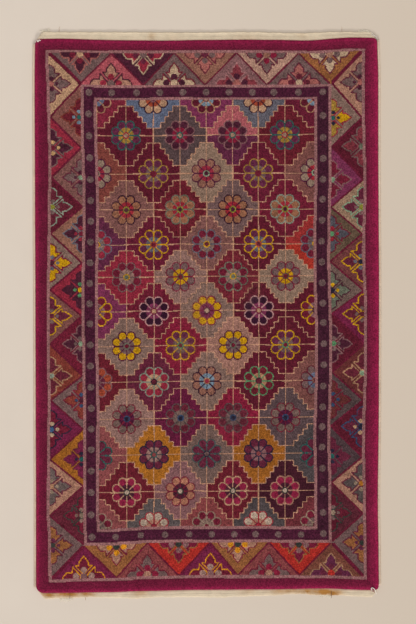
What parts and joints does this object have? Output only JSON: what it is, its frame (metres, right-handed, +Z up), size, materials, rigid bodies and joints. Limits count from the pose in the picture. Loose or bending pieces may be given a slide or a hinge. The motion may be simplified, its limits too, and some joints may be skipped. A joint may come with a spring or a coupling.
{
  "type": "chinese art deco rug",
  "caption": "Flat hand-knotted wool rug with medallion field, triangle border, plain rim, cotton end webs, overcast sides and frayed warp ends.",
  "frame": {"origin": "middle of the rug's box on the floor that it lies on", "axes": "+Y along the rug towards the far end (the top of the picture), +X across to the picture's right, +Z up from the floor"},
  "size_m": [0.9234, 1.5256, 0.0115],
  "materials": {
    "wool_pile": "thick hand-knotted wool pile in about two dozen plant-like dyes, plain magenta at the rim",
    "cotton_web": "plain-woven cream cotton, folded lengthways, ochre stains at the near end",
    "wool_overcast": "beige wool overcast in close turns round the edge warps",
    "warp_ends": "raw cotton warp ends, untwisted at their tips"
  },
  "bodies": {
    "root": {"pile": "wool_pile", "end_web_far": "cotton_web", "end_web_near": "cotton_web", "side_cord_left": "wool_overcast", "side_cord_right": "wool_overcast", "frayed_ends_far_left": "warp_ends", "frayed_ends_far_right": "warp_ends", "frayed_ends_near_left": "warp_ends", "frayed_ends_near_right": "warp_ends"}
  },
  "joints": []
}
